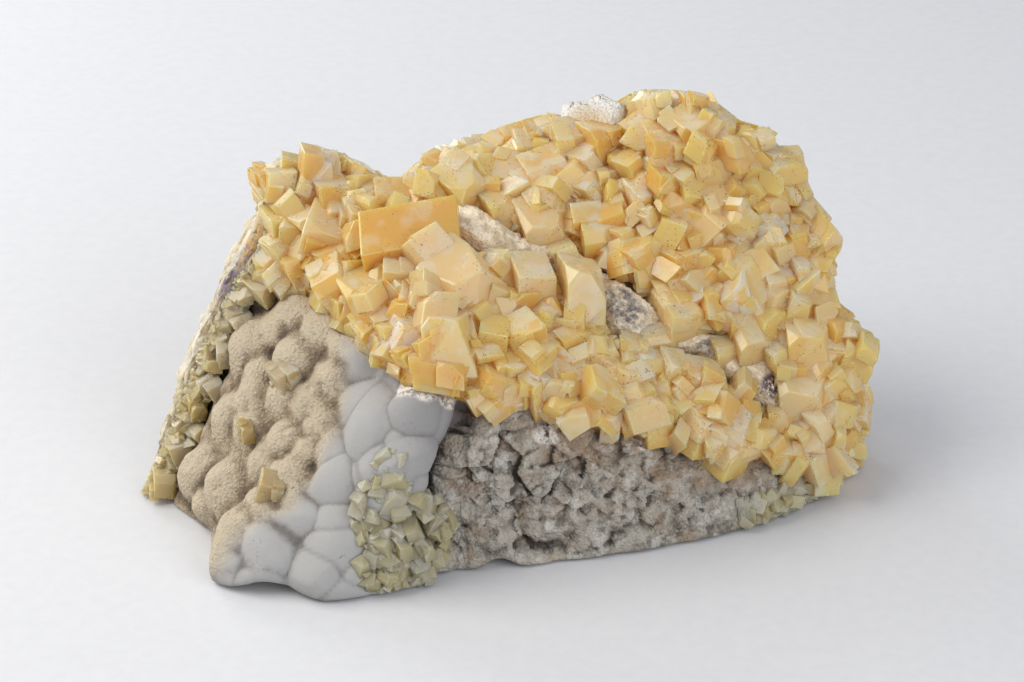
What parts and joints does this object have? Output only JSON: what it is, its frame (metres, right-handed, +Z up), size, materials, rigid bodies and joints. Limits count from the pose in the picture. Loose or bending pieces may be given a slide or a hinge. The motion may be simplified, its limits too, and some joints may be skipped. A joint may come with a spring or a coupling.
{
  "type": "calcite specimen",
  "caption": "Rock specimen: a crust of honey calcite rhombs on a leaning block of lobed grey and tan matrix, flat where it rests.",
  "frame": {"origin": "on the flat underside of the matrix, near its middle, at the level it rests on", "axes": "+X to the right along the specimen's length in the pictured view, +Y to its back, +Z up"},
  "size_m": [0.102, 0.0659, 0.0485],
  "materials": {
    "matrix_stone": "rough",
    "honey_calcite": "satin",
    "pale_calcite": "satin"
  },
  "bodies": {
    "root": {"matrix": "matrix_stone", "calcite_crust": "honey_calcite", "front_calcite_group": "pale_calcite", "foot_calcite_group": "pale_calcite", "lone_rhomb_upper": "pale_calcite", "lone_rhomb_middle": "pale_calcite", "lone_rhomb_lower": "pale_calcite"}
  },
  "joints": []
}
